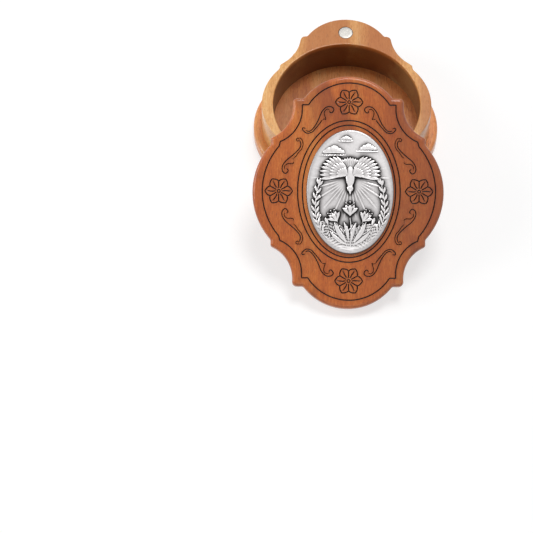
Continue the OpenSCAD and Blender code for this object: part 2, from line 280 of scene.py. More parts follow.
def antiqued_silver():
    """Stamped and silvered metal with dark tarnish left in the hollows, and painted shade at its edge's
    foot.
    """
    made, tree = finish_of("Antiqued_silver_stamping")
    # The attribute is tarnish on the face, and tarnish growing into painted shade down the edge
    tarnish_and_shade = add(tree, "ShaderNodeAttribute", attribute_name="tarnish_and_shade").outputs["Fac"]
    place = add(tree, "ShaderNodeTexCoord").outputs["Object"]
    # A faint mottle, as rubbing never takes the tarnish off evenly
    mottle = add(tree, "ShaderNodeTexNoise", {"Vector": place, "Scale": 1 / (RUB_MARK * MM), "Detail": 3.0})
    uneven = add(tree, "ShaderNodeMath", {0: mottle, 1: 0.12, 2: tarnish_and_shade}, operation="MULTIPLY_ADD")
    colour = ramp(tree, uneven, ((0.05, "DCD9D9"), (0.28, "A09D9D"), (0.60, "504E4E"), (1.0, "1C1A1A")))
    rough = add(tree, "ShaderNodeMapRange", {"Value": tarnish_and_shade, "To Min": 0.3, "To Max": 0.6})
    shader = add(tree, "ShaderNodeBsdfPrincipled", {
        "Base Color": colour, "Metallic": 1.0, "Roughness": rough})
    add(tree, "ShaderNodeOutputMaterial", {"Surface": shader})
    return made


def plated_nickel():
    """Nickel plate on a sintered magnet, grainy from the plating barrel."""
    made, tree = finish_of("Barrel_plated_nickel")
    place = add(tree, "ShaderNodeTexCoord").outputs["Object"]
    scale = 1 / (PLATING_GRAIN * MM)
    grain = add(tree, "ShaderNodeTexNoise", {"Vector": place, "Scale": scale, "Detail": 4.0})
    colour = ramp(tree, grain, ((0.3, "8E8C87"), (0.7, "BAB7B2")))
    bump = add(tree, "ShaderNodeBump", {"Strength": 0.4, "Distance": 0.02 * MM, "Height": grain})
    shader = add(tree, "ShaderNodeBsdfPrincipled", {
        "Base Color": colour, "Metallic": 1.0, "Roughness": 0.42, "Normal": bump})
    add(tree, "ShaderNodeOutputMaterial", {"Surface": shader})
    return made


silver, nickel = antiqued_silver(), plated_nickel()
print("metal:", silver.name, nickel.name)

# %% [markdown]
# ## The lobed outline
# A router follows a template, so each board's edge is the same outline, drawn in by the shape of
# the cutter. The outline is worked out from its arcs for any inset, always with the same number of
# points, so a rounded edge is a stack of outlines with faces between them. Corners that a sheet of
# sandpaper would soften are softened by averaging each point with its neighbours.

# %% The outline


def arc(x, y, r, start, end, count):
    """Points on an arc, from start towards end in degrees, without the last one."""
    angle = np.radians(start + (end - start) * np.arange(count) / count)
    return np.stack([x + r * np.cos(angle), y + r * np.sin(angle)], axis=1)


def straight(a, b, count):
    """Points on a line from a towards b, without b."""
    return np.asarray(a) + (np.asarray(b) - np.asarray(a)) * (np.arange(count) / count)[:, None]


def mirrored(quarter):
    """A closed loop from its first quarter, which runs from the X axis to the Y axis."""
    parts = [quarter, (quarter * [-1, 1])[::-1], quarter * [-1, -1], (quarter * [1, -1])[::-1]]
    return np.vstack([p[:-1] for p in parts])


def outline(inset=0.0, ease=0.0, passes=3):
    """The lobed outline drawn in by inset, and by ease where the edge is rounded."""
    inset += HAIR
    out = inset + ease
    side_r, end_r, cove_r = SIDE_R - out, END_R - out, COVE_R + out
    ledge_x, shoulder_y = LEDGE_X - out, SHOULDER_Y - out
    corner_y = SHOULDER_Y - inset - CORNER_R
    corner_x = COVE_X - math.sqrt((COVE_R + inset + CORNER_R) ** 2 - (COVE_Y - corner_y) ** 2)
    side_end = math.acos((ledge_x - SIDE_X) / side_r)
    cove_start = 180 + math.degrees(math.acos((COVE_X - ledge_x) / cove_r))
    cove_end = math.degrees(math.atan2(corner_y - COVE_Y, corner_x - COVE_X)) % 360
    ledge_top = COVE_Y - math.sqrt(cove_r ** 2 - (COVE_X - ledge_x) ** 2)
    lobe_x = math.sqrt(end_r ** 2 - (shoulder_y - END_Y) ** 2)
    lobe_start = math.degrees(math.atan2(shoulder_y - END_Y, lobe_x))
    quarter = np.vstack([
        arc(SIDE_X, 0, side_r, 0, math.degrees(side_end), 60),
        straight((ledge_x, side_r * math.sin(side_end)), (ledge_x, ledge_top), 8),
        arc(COVE_X, COVE_Y, cove_r, cove_start, cove_end, 48),
        arc(corner_x, corner_y, CORNER_R - ease, cove_end - 180, 90, 10),
        straight((corner_x, shoulder_y), (lobe_x, shoulder_y), 8),
        arc(0, END_Y, end_r, lobe_start, 90, 60),
        [(0, END_Y + end_r)]])
    loop = mirrored(quarter)
    for _ in range(passes):
        loop = (2 * loop + np.roll(loop, 1, axis=0) + np.roll(loop, -1, axis=0)) / 4
    return loop


def circle(r, count, x=0.0, y=0.0):
    """A closed round loop."""
    return arc(x, y, r, 0, 360, count)


print("outline points:", len(outline()))

# %% [markdown]
# ## Faces and solids
# Two kinds of patch make every board. A stack joins each loop to the next with a band of faces.
# A flat face is cut into triangles by Blender's own constrained triangulation, which keeps the
# edges that it is given and leaves holes where they are asked for. A solid is its patches welded
# together, with all faces turned outwards, smooth except at real edges.

# %% Bands and triangles


def stack(rows):
    """Faces between closed loops with as many points each. A row is (points, height)."""
    points = np.vstack([np.column_stack([loop, np.full(len(loop), z)]) for loop, z in rows])
    n = len(rows[0][0])
    faces = [(r * n + i, r * n + (i + 1) % n, (r + 1) * n + (i + 1) % n, (r + 1) * n + i)
             for r in range(len(rows) - 1) for i in range(n)]
    return points, faces


def inside(points, loop):
    """Which points lie inside a closed loop."""
    x, y = points[:, :1], points[:, 1:2]
    ax, ay = loop.T
    bx, by = np.roll(loop, -1, axis=0).T
    crossing = (ay > y) != (by > y)
    with np.errstate(divide="ignore", invalid="ignore"):
        left = x < ax + (y - ay) * (bx - ax) / (by - ay)
    return (crossing & left).sum(axis=1) % 2 == 1


def triangulated(loops, points=(), edges=()):
    """Triangles inside the first loop and outside the others, through more points and edges."""
    spots = np.vstack([*loops, np.asarray(points).reshape(-1, 2)])
    lines, first = [], 0
    for loop in loops:
        n = len(loop)
        lines += [(first + i, first + (i + 1) % n) for i in range(n)]
        first += n
    lines += [(first + int(a), first + int(b)) for a, b in edges]
    made, _, faces, sources, _, _ = geometry.delaunay_2d_cdt(
        [Vector(p) for p in spots.tolist()], lines, [], 1, 1e-5, True)
    flat = np.array([(p.x, p.y) for p in made])
    faces = np.array(faces)
    middle = flat[faces].mean(axis=1)
    keep = inside(middle, loops[0])
    for hole in loops[1:]:
        keep &= ~inside(middle, hole)
    return flat, faces[keep].tolist(), sources, first


# %% Flat faces


def flat_face(loops, z, step=0.0):
    """A flat face with holes, and with points step apart inside it."""
    points = np.zeros((0, 2))
    if step:
        points = dots_in(loops, step)
    flat, faces, _, _ = triangulated(loops, points)
    return np.column_stack([flat, np.full(len(flat), z)]), faces


def dots_in(loops, step):
    """A grid of points inside the first loop, clear of every loop by 0.6 steps."""
    low, high = loops[0].min(axis=0), loops[0].max(axis=0)
    grid = np.stack(np.meshgrid(np.arange(low[0], high[0], step), np.arange(low[1], high[1], step)), -1)
    grid = grid.reshape(-1, 2)
    grid = grid[inside(grid, loops[0])]
    for hole in loops[1:]:
        grid = grid[~inside(grid, hole)]
    return clear_of(grid, np.vstack(loops), 0.6 * step)


def clear_of(points, others, gap):
    """The points that are further than gap from all the others."""
    tree = KDTree(len(others))
    for i, (x, y) in enumerate(others[:, :2].tolist()):
        tree.insert((x, y, 0), i)
    tree.balance()
    return np.array([p for p in points.tolist() if tree.find((*p, 0))[2] > gap]).reshape(-1, 2)


# %% Solids


def solid(name, patches, material, place, attribute="", values=(), sharp=32):
    """Patches in millimetres welded to one closed object, with values for its points if named."""
    points, faces, first = [], [], 0
    for some, more in patches:
        points.append(np.asarray(some, float))
        faces += [tuple(first + i for i in face) for face in more]
        first += len(some)
    mesh = bpy.data.meshes.new(name)
    mesh.from_pydata((place(np.vstack(points)) * MM).tolist(), [], faces)
    if attribute:
        mesh.attributes.new(attribute, "FLOAT", "POINT").data.foreach_set("value", np.concatenate(values))
    shape = bmesh.new()
    shape.from_mesh(mesh)
    bmesh.ops.remove_doubles(shape, verts=shape.verts, dist=0.002 * MM)
    bmesh.ops.recalc_face_normals(shape, faces=shape.faces)
    open_edges = sum(not e.is_manifold for e in shape.edges)
    limit = math.radians(sharp)
    for face in shape.faces:
        face.smooth = True
    for edge in shape.edges:
        edge.smooth = not (edge.is_manifold and edge.calc_face_angle() > limit)
    shape.to_mesh(mesh)
    shape.free()
    mesh.materials.append(material)
    made = bpy.data.objects.new(name, mesh)
    bpy.context.scene.collection.objects.link(made)
    print(f"{name}: {len(mesh.polygons)} faces, {open_edges} open edges")
    return made


# %% Rounded edges


def rounding(r, z, steps, way):
    """(ease, height) down a rounded edge of radius r from height z. way is 1 above, -1 below."""
    angles = np.radians(np.linspace(0, 90, steps + 1))
    return [(r - r * math.cos(a), z - way * r + way * r * math.sin(a)) for a in angles]


def board_edge(inset, bottom, top, low_r, high_r, low_steps=4, high_steps=9, passes=3):
    """The edge of a board from its underside to its face, as a stack of outlines."""
    low = rounding(low_r, bottom, low_steps, -1)[::-1]
    high = rounding(high_r, top, high_steps, 1)
    middle = [(0.0, low[-1][1] + (high[0][1] - low[-1][1]) * k / 4) for k in (1, 2, 3)]
    return [(outline(inset, ease, passes), z) for ease, z in low + middle + high]


# %% [markdown]
# ## The base board
# The base is a plain board whose top edge was rounded with a router bit and whose underside edge
# was just broken with sandpaper. It is a stack of outlines closed with two flat faces. An extra
# outline just inside the rounding keeps the shading of the flat face flat. The hollow is darkened
# with painted shade, its wall more than its floor, and an attribute on the points says how dark.

# %% The base board
LIP, GRID = 0.3, 3              # how far in the extra outline lies, and between a face's points
SHADE_OUT, NEAR = 0.2, 0.1      # how far the painted shade runs under the ring, and what counts as level
# Painted shade in the hollow: how dark its floor and its wall are made
FLOOR_SHADE, WALL_SHADE = 0.28, 0.68
base_rows = board_edge(0, 0, BASE_T, UNDER_EDGE_R, FACE_EDGE_R)
base_face, base_lip = outline(0, FACE_EDGE_R), outline(LIP, FACE_EDGE_R)
shaded_floor = circle(HOLLOW_R + SHADE_OUT, 288)


def in_hollow(patches, top, share):
    """The share of painted shade for every point of some patches: nothing outside the hollow."""
    values = []
    for points, _ in patches:
        within = np.hypot(points[:, 0], points[:, 1]) < HOLLOW_R + SHADE_OUT + 0.01
        between = (points[:, 2] > BASE_T - NEAR) & (points[:, 2] < top + NEAR)
        values.append(np.where(within & between, share, 0.0))
    return values


base_patches = [
    stack(base_rows),
    stack([(base_face, BASE_T), (base_lip, BASE_T)]),
    flat_face([base_lip, shaded_floor], BASE_T, GRID),
    flat_face([shaded_floor], BASE_T, GRID),
    flat_face([base_rows[0][0]], 0, GRID)]
# The hollow's floor gets painted shade
base_shade = in_hollow(base_patches, BASE_T, FLOOR_SHADE)
base_board = solid("Base_board", base_patches, base_wood, standing, "burn_and_shade", base_shade)
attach(base_board, "box")
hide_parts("base_board")

# %% [markdown]
# ## Pockets
# A magnet sits in a blind hole drilled with a flat-bottomed bit. The hole's mouth is a loop that
# the flat face leaves open, and its wall and floor are one more stack and one more face.

# %% Pockets for magnets
POCKET_POINTS, MOUTH_EASE = 72, 0.12


def pocket(y, face, depth):
    """The mouth of a magnet's hole, and the patches that line it. depth is down from the face."""
    mouth = circle(MAGNET_R + MAGNET_FIT + MOUTH_EASE, POCKET_POINTS, 0, y)
    hole = circle(MAGNET_R + MAGNET_FIT, POCKET_POINTS, 0, y)
    eased = face - math.copysign(MOUTH_EASE, depth)
    return mouth, [stack([(mouth, face), (hole, eased), (hole, face - depth)]),
                   flat_face([hole], face - depth)]


# %% [markdown]
# ## The ring
# The ring stands back from the base all round, and its hollow is a plain round bore. Its rim was
# only touched with sandpaper, so the edges are rounded by less than half a millimetre. It is glued
# on the base, and the fine seam comes from the broken edge at its foot.

# %% The ring
RING_POINTS, RING_PASSES, RING_GRID = 288, 10, 2
SUPPORT = 0.15                  # an extra loop this far in from each rounding, as on the base
ring_rows = board_edge(WALL_INSET, BASE_T, BOX_H, SEAM_EASE, RIM_EASE, 3, 5, RING_PASSES)
rim_outside = outline(WALL_INSET, RIM_EASE, RING_PASSES)
rim_support = outline(WALL_INSET + SUPPORT, RIM_EASE, RING_PASSES)
bore_mouth = rounding(RIM_EASE, BOX_H, 5, 1)
bore_rows = [(circle(HOLLOW_R, RING_POINTS), BASE_T + WALL_H * k / 6) for k in range(6)]
bore_rows += [(circle(HOLLOW_R + ease, RING_POINTS), z) for ease, z in bore_mouth]
bore_support = circle(HOLLOW_R + RIM_EASE + SUPPORT, RING_POINTS)
far_mouth, far_lining = pocket(MAGNET_Y, BOX_H, MAGNET_T)
near_mouth, near_lining = pocket(-MAGNET_Y, BOX_H, MAGNET_T)
ring_patches = [
    stack(ring_rows),
    stack([(rim_outside, BOX_H), (rim_support, BOX_H)]),
    flat_face([rim_support, bore_support, far_mouth, near_mouth], BOX_H, RING_GRID),
    stack([(bore_support, BOX_H), bore_rows[-1]]), stack(bore_rows),
    flat_face([ring_rows[0][0], bore_rows[0][0]], BASE_T), *far_lining, *near_lining]
# The bore's wall gets painted shade, darker than the floor's
ring_shade = in_hollow(ring_patches, BOX_H - RIM_EASE - NEAR, WALL_SHADE)
wall_ring = solid("Wall_ring", ring_patches, ring_wood, standing, "burn_and_shade", ring_shade)
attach(wall_ring, "box")
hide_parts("wall_ring")

# %% [markdown]
# ## The magnets
# A disc magnet is pressed, ground and tumbled, so its edges are rounded. It is turned like a bowl
# on a lathe: a stack of circles closed with a flat face at each end. The four are alike and each
# goes with its own body. Each is pushed in flush, a few hundredths below the wood.

# %% The magnets
MAGNET_SINK, MAGNET_EDGE = 0.03, 0.3


def magnet(name, y, face, way, place, body, node):
    """A disc magnet whose outer face lies at height face and looks way, up or down."""
    rows = [(MAGNET_R - MAGNET_EDGE, 0.0), (MAGNET_R, MAGNET_EDGE)]
    rows += [(MAGNET_R - ease, z) for ease, z in rounding(MAGNET_EDGE, MAGNET_T, 5, 1)[1:]]
    loops = [(circle(r, POCKET_POINTS, 0, y), face + way * (z - MAGNET_T - MAGNET_SINK)) for r, z in rows]
    made = solid(name, [stack(loops), flat_face([loops[0][0]], loops[0][1], 1),
                        flat_face([loops[-1][0]], loops[-1][1], 1)], nickel, place)
    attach(made, body)
    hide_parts(node)


magnet("Magnet_far", MAGNET_Y, BOX_H, 1, standing, "box", "box_magnet_far")
magnet("Magnet_near", -MAGNET_Y, BOX_H, 1, standing, "box", "box_magnet_near")
magnet("Lid_magnet_far", MAGNET_Y, 0, -1, leaning, "lid", "lid_magnet_far")
magnet("Lid_magnet_near", -MAGNET_Y, 0, -1, leaning, "lid", "lid_magnet_near")

# %% [markdown]
# ## The engraving: what is drawn
# The lid is engraved by a fine burning cutter: a border line inside the edge, two ovals round the
# medallion, a six-petal flower at each end and side, and a pair of scrolls between them. The four
# quarters of the lid mirror each other, so only one quarter's scrolls and one petal are drawn, as
# a few points each that a smooth curve will pass through. The work lies a little off the lid's
# middle, as it would when the board shifts in its jig.

# %% Lines that close on themselves
LINE_W, PETAL_LINE_W, SCROLL_LINE_W, TENDRIL_LINE_W, LINE_DEPTH = 0.54, 0.52, 0.46, 0.34, 0.3
OFF_MIDDLE = (0.3, 0.25, 0)     # mm to the right and towards the far end


def border_line():
    """The border line. It follows the edge loosely, with flatter sides and shorter ledges."""
    side_x, side_r, ledge_x, cove_x, cove_y, cove_r = 6.85, 27.95, 27.8, 33.2, 33.2, 14.35
    end_r, shoulder_y = 19.45, 34.95
    ledge = math.degrees(math.acos((ledge_x - side_x) / side_r))
    lobe = math.degrees(math.asin((shoulder_y - END_Y) / end_r))
    return mirrored(np.vstack([
        arc(side_x, 0, side_r, 0, ledge, 40),
        arc(cove_x, cove_y, cove_r, 247, 180, 34),
        straight((cove_x - cove_r, cove_y), (cove_x - cove_r, shoulder_y), 4),
        straight((cove_x - cove_r, shoulder_y), (end_r * math.cos(math.radians(lobe)), shoulder_y), 5),
        arc(0, END_Y, end_r, lobe, 90, 40),
        [(0, END_Y + end_r)]]))


def oval_line(gap):
    """An oval that stands gap away from the medallion, and a little more at its ends."""
    return circle(1, 220) * [MEDAL_W / 2 + gap, MEDAL_L / 2 + gap + 0.5]


closed_lines = [border_line(), oval_line(1.2), oval_line(3.1)]

# %% Lines of one quarter, mm
scroll_lines = [
    [(7.85, 32.75), (7.65, 31.85), (6.85, 31.85), (6.15, 32.95), (6.75, 33.95), (8.15, 34.25),
     (9.55, 33.75), (11.05, 32), (12.2, 29.25), (13.3, 27.05), (14.75, 25.05), (16.15, 24.15),
     (17.45, 24.55)],
    [(10.75, 28.95), (11.95, 27.25), (13.45, 25.45), (14.95, 23.85), (16.95, 23.4),
     (18.55, 24.55), (18.65, 25.55), (17.45, 25.35)],
    [(19.97, 20.65), (19.4, 19), (20, 17.2), (22.4, 14.7), (25.35, 12.2), (26.75, 10), (26.7, 8),
     (25.4, 7.1), (24.4, 8.3), (25.1, 9.1)],
]
tendril_lines = [
    [(7.85, 32.85), (8.85, 33.25), (9.95, 32.15), (9.85, 30.65), (9.3, 28.95), (9.85, 29.25),
     (10.75, 28.95)],
    [(20, 20.8), (20.6, 21.45), (21.25, 20.8), (20.6, 20.15), (20, 20.8)],
    [(20.3, 21.5), (19.2, 21.1), (18.5, 19.2), (19, 17.1), (20.2, 15.8), (21.15, 14.3), (22.2, 13.3)],
    [(25.8, 8.7), (25.9, 10), (24.7, 11), (23.3, 11), (22.3, 11.3), (22.2, 12)],
]


def polar(r, degrees, start=(0.0, 0.0)):
    """The point at distance r from a start, in that direction."""
    angle = math.radians(degrees)
    return start[0] + r * math.cos(angle), start[1] + r * math.sin(angle)


petal_lines = [
    [polar(3.9, -30), polar(4.35, -24.5), polar(4.7, -18.5), polar(5.1, -10), polar(5.55, 0)],
    [polar(5.55, 0), polar(5.1, 10), polar(4.7, 18.5), polar(4.35, 24.5), polar(3.9, 30)],
    [polar(1.3, 30), polar(2.6, 30), polar(3.9, 30)],
    [polar(1.5, 0), (2.6, 0.14), (3.9, 0.0)],
    [polar(0.55, -30), polar(0.62, 0), polar(0.55, 30)],
]
FLOWER_END, FLOWER_SIDE, PETALS = 36.1, 28.2, 6
print("strokes:", len(closed_lines), len(scroll_lines), len(tendril_lines), len(petal_lines))

# %% [markdown]
# ## The engraving: Geometry Nodes cut the grooves
# A groove is a small round-bottomed section that follows a line, which is just what Geometry Nodes
# do well. One tree, the cutter, turns drawn edges to smooth curves, sets points evenly along them
# and sweeps the section, which thins out towards a loose end as the cutter lifts. Two more trees
# repeat what is drawn: one mirrors the scrolls to the four quarters, and one turns a petal round
# its flower and sets the flower at four places. Their sizes are named inputs.

# %% A tree's frame and its run


def geometry_tree(name, sizes):
    """An empty tree with geometry in and out, and named inputs as {name: socket kind}."""
    tree = bpy.data.node_groups.new(name, "GeometryNodeTree")
    tree.interface.new_socket("Geometry", in_out="OUTPUT", socket_type="NodeSocketGeometry")
    for label, kind in {"Drawing": "Geometry", **sizes}.items():
        tree.interface.new_socket(label, in_out="INPUT", socket_type="NodeSocket" + kind)
    return tree, add(tree, "NodeGroupInput").outputs


def run(tree, drawing, values):
    """The plain mesh that the tree makes of a drawing, with the named inputs set."""
    modifier = drawing.modifiers.new(tree.name, "NODES")
    modifier.node_group = tree
    for item in tree.interface.items_tree:
        if item.in_out == "INPUT" and item.name in values:
            modifier[item.identifier] = values[item.name]
    graph = bpy.context.evaluated_depsgraph_get()
    mesh = bpy.data.meshes.new_from_object(drawing.evaluated_get(graph))
    drawing.modifiers.remove(modifier)
    bpy.data.objects.remove(drawing)
    return mesh


def drawing(name, strokes, joined=False):
    """Strokes in millimetres as an object of edges, in metres. Joined strokes close on themselves."""
    points, edges = [], []
    for stroke in strokes:
        first, n = len(points), len(stroke)
        points += [(x * MM, y * MM, 0) for x, y in stroke]
        edges += [(first + i, first + i + 1) for i in range(n - 1)]
        if joined:
            edges.append((first + n - 1, first))
    mesh = bpy.data.meshes.new(name)
    mesh.from_pydata(points, edges, [])
    made = bpy.data.objects.new(name, mesh)
    bpy.context.scene.collection.objects.link(made)
    return made


# %% The cutter
CUT_SIZES = {**dict.fromkeys(("Line width", "Line depth", "Step", "Lift", "Loose end"), "Float"),
             "Wood": "Material"}


def end_tree(tree, shape, given):
    """Ends a tree with plain geometry and its material."""
    plain = add(tree, "GeometryNodeRealizeInstances", {"Geometry": shape})
    done = add(tree, "GeometryNodeSetMaterial", {"Geometry": plain, "Material": given["Wood"]})
    add(tree, "NodeGroupOutput", {"Geometry": done})
    return tree


def cutter():
    """The tree that sweeps a round-bottomed groove along every drawn line."""
    tree, given = geometry_tree("Burning_cutter", CUT_SIZES)
    lines = add(tree, "GeometryNodeMeshToCurve", {"Mesh": given["Drawing"]})
    smooth = add(tree, "GeometryNodeCurveSplineType", {"Curve": lines}, spline_type="CATMULL_ROM")
    fine = add(tree, "GeometryNodeResampleCurve", {"Curve": smooth, "Length": given["Step"]},
               mode="LENGTH")
    upright = add(tree, "GeometryNodeSetCurveNormal", {"Curve": fine}, mode="Z_UP")
    # The groove's size falls towards a loose end, and stays whole where a line closes on itself
    along = add(tree, "GeometryNodeSplineParameter").outputs["Length"]
    whole = add(tree, "GeometryNodeSplineLength")
    left = add(tree, "ShaderNodeMath", {0: whole, 1: along}, operation="SUBTRACT")
    to_end = add(tree, "ShaderNodeMath", {0: along, 1: left}, operation="MINIMUM")
    lifted = add(tree, "ShaderNodeMapRange", {
        "Value": to_end, "From Max": given["Lift"], "To Min": given["Loose end"]})
    ring = add(tree, "GeometryNodeInputSplineCyclic")
    size = add(tree, "GeometryNodeSwitch", {"Switch": ring, "False": lifted, "True": 1.0},
               input_type="FLOAT")
    # The section is half a circle, scaled to the line's width and depth
    half = add(tree, "ShaderNodeMath", {0: given["Line width"], 1: 0.5}, operation="MULTIPLY")
    shape = add(tree, "ShaderNodeCombineXYZ", {"X": half, "Y": given["Line depth"], "Z": 1.0})
    bowl = add(tree, "GeometryNodeCurveArc", {
        "Resolution": 7, "Radius": 1.0, "Start Angle": 0.0, "Sweep Angle": math.pi}, mode="RADIUS")
    section = add(tree, "GeometryNodeTransform", {"Geometry": bowl, "Scale": shape})
    swept = add(tree, "GeometryNodeCurveToMesh", {
        "Curve": upright, "Profile Curve": section, "Scale": size})
    return end_tree(tree, swept, given)


cutter_tree = cutter()
print("tree:", cutter_tree.name, "with", len(cutter_tree.nodes), "nodes")


def cut_along(tree, given, lines):
    """Ends a tree with the cutter, run along its lines."""
    sweep = add(tree, "GeometryNodeGroup", node_tree=cutter_tree)
    for name, socket in {"Drawing": lines, **{name: given[name] for name in CUT_SIZES}}.items():
        tree.links.new(socket, sweep.inputs[name])
    return end_tree(tree, sweep, given)


# %% Scrolls in four quarters, and flowers at four places


def scroll_tree():
    """Mirrors a quarter's lines across both middles of the lid."""
    tree, given = geometry_tree("Mirrored_scrolls", CUT_SIZES)
    lines = given["Drawing"]
    for flip in ((-1, 1, 1), (1, -1, 1)):
        other = add(tree, "GeometryNodeTransform", {"Geometry": lines, "Scale": flip})
        both = add(tree, "GeometryNodeJoinGeometry", {"Geometry": lines})
        tree.links.new(other.outputs[0], both.inputs[0])
        lines = both.outputs[0]
    return cut_along(tree, given, lines)


def flower_tree():
    """Turns a petal round its flower and sets the flower at the ends and sides of the lid."""
    tree, given = geometry_tree("Six_petal_flowers", {
        **CUT_SIZES, "Petals": "Int", "To the end": "Float", "To the side": "Float"})
    turns = add(tree, "GeometryNodeMeshLine", {"Count": given["Petals"], "Offset": (0, 0, 0)})
    share = add(tree, "ShaderNodeMath", {0: 2 * math.pi, 1: given["Petals"]}, operation="DIVIDE")
    index = add(tree, "GeometryNodeInputIndex")
    angle = add(tree, "ShaderNodeMath", {0: index, 1: share}, operation="MULTIPLY")
    turn = add(tree, "ShaderNodeCombineXYZ", {"Z": angle})
    flower = add(tree, "GeometryNodeInstanceOnPoints", {
        "Points": turns, "Instance": given["Drawing"], "Rotation": turn})
    cross = add(tree, "GeometryNodeMeshCircle", {"Vertices": 4, "Radius": 1.0})
    reach = add(tree, "ShaderNodeCombineXYZ", {
        "X": given["To the side"], "Y": given["To the end"], "Z": 1.0})
    places = add(tree, "GeometryNodeTransform", {"Geometry": cross, "Scale": reach})
    flowers = add(tree, "GeometryNodeInstanceOnPoints", {"Points": places, "Instance": flower})
    lines = add(tree, "GeometryNodeRealizeInstances", {"Geometry": flowers})
    return cut_along(tree, given, lines.outputs[0])


def cut(width, loose_end=0.25, **more):
    """The cutter's settings for lines of that width, which thin to a share of it at a loose end."""
    return {"Line width": width * MM, "Line depth": LINE_DEPTH * MM, "Step": 0.3 * MM, "Lift": 0.5 * MM,
            "Loose end": loose_end, "Wood": lid_wood, **more}


mirror = scroll_tree()
spread = {"Petals": PETALS, "To the end": FLOWER_END * MM, "To the side": FLOWER_SIDE * MM}
grooves = [
    run(cutter_tree, drawing("Closed_lines", closed_lines, joined=True), cut(LINE_W)),
    run(mirror, drawing("Scroll_lines", scroll_lines), cut(SCROLL_LINE_W)),
    run(mirror, drawing("Tendril_lines", tendril_lines), cut(TENDRIL_LINE_W)),
    run(flower_tree(), drawing("Petal_lines", petal_lines), cut(PETAL_LINE_W, 0.85, **spread))]
for mesh in grooves:
    print(mesh.name, len(mesh.vertices), "points, deepest", min(v.co.z for v in mesh.vertices) / MM)

# %% [markdown]
# ## The lid's face
# The swept grooves cross and touch each other, and a wooden face has only one surface. So their
# points and edges are laid into the flat face's triangulation, and each point then sinks to the
# lowest groove over it, found with a ray from below. The result is one clean skin with the grooves
# in it. The attribute says how burnt each point is.

# %% The engraved face
FACE_GRID, FACE_CLEAR = 1.3, 0.6            # between points of the plain face, and clear of grooves
BURNT_FROM = 0.3 * LINE_DEPTH               # from this depth down a groove is burnt through


def groove_points(meshes):
    """All points and edges of the swept grooves, and a tree for rays."""
    points, edges, faces, first = [], [], [], 0
    for mesh in meshes:
        co = np.zeros(len(mesh.vertices) * 3)
        mesh.vertices.foreach_get("co", co)
        points.append(co.reshape(-1, 3) / MM + OFF_MIDDLE)
        edges += [(first + e.vertices[0], first + e.vertices[1]) for e in mesh.edges]
        faces += [[first + i for i in f.vertices] for f in mesh.polygons]
        first += len(mesh.vertices)
    points = np.vstack(points)
    return points, edges, BVHTree.FromPolygons(points.tolist(), faces)


def engraved_face(rim, z):
    """The lid's face inside a rim loop, with the grooves in it, and how burnt its points are."""
    points, edges, rays = groove_points(grooves)
    spare = clear_of(dots_in([rim], FACE_GRID), points, FACE_CLEAR)
    flat, faces, sources, first = triangulated([rim], np.vstack([points[:, :2], spare]), edges)
    height = np.zeros(len(flat))
    for i, (x, y) in enumerate(flat.tolist()):
        own = [points[s - first][2] for s in sources[i] if first <= s < first + len(points)]
        # Three rays a few microns aside, because a ray through an edge can miss both faces
        for dx, dy in ((0.003, 0.001), (-0.002, 0.003), (-0.001, -0.003)):
            hit = rays.ray_cast((x + dx, y + dy, -5), (0, 0, 1))[0]
            if hit is not None:
                own.append(hit.z)
        height[i] = min(own, default=0.0)
    return np.column_stack([flat, z + height]), faces, np.clip(-height / BURNT_FROM, 0, 1)


lid_rows = board_edge(0, 0, LID_T, UNDER_EDGE_R, FACE_EDGE_R)
lid_rim, lid_lip = outline(0, FACE_EDGE_R), outline(LIP, FACE_EDGE_R)
face_points, face_faces, burnt = engraved_face(lid_lip, LID_T)
print("face:", len(face_points), "points,", len(face_faces), "triangles")

# %% The lid board
far_mouth, far_lining = pocket(MAGNET_Y, 0, -MAGNET_T)
near_mouth, near_lining = pocket(-MAGNET_Y, 0, -MAGNET_T)
lid_patches = [
    stack(lid_rows), stack([(lid_rim, LID_T), (lid_lip, LID_T)]), (face_points, face_faces),
    flat_face([lid_rows[0][0], far_mouth, near_mouth], 0, GRID), *far_lining, *near_lining]
burns = [burnt if points is face_points else np.zeros(len(points)) for points, _ in lid_patches]
lid_board = solid("Lid_board", lid_patches, lid_wood, leaning, "burn_and_shade", burns)
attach(lid_board, "lid")
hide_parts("lid_board")

# %% [markdown]
# ## The medallion: a drawing in heights
# A stamped relief is a picture in heights. It is worked out on a grid of points that fills the
# oval evenly, with no pole in the middle. Every form, a feather, a petal, a puff of cloud, is a
# rounded blade or ball laid over what is there, and where two meet the crease between them reads
# as a line. The design is a plain one: a dove coming down with rays below it, clouds above, lilies
# that grow from low hills with grass, and an olive branch up each side.

# %% The oval grid
EDGE_W, EDGE_H, DOME = 0.6, 1.2, 0.7
FACE_A, FACE_B = MEDAL_W / 2 - EDGE_W, MEDAL_L / 2 - EDGE_W
ACROSS, UP = 232, 332
u, v = np.meshgrid(np.linspace(-1, 1, ACROSS + 1), np.linspace(-1, 1, UP + 1))
X, Y = FACE_A * u * np.sqrt(1 - v * v / 2), FACE_B * v * np.sqrt(1 - u * u / 2)
relief = np.zeros_like(X)
print("relief grid:", X.shape)

# %% Forms of the relief


def lay(height, where):
    """Lays a form over the relief where it is higher."""
    np.copyto(relief, np.maximum(relief, height), where=where)


def local(x, y, degrees):
    """Places along and across a line that starts at (x, y)."""
    c, s = math.cos(math.radians(degrees)), math.sin(math.radians(degrees))
    return (X - x) * c + (Y - y) * s, (Y - y) * c - (X - x) * s


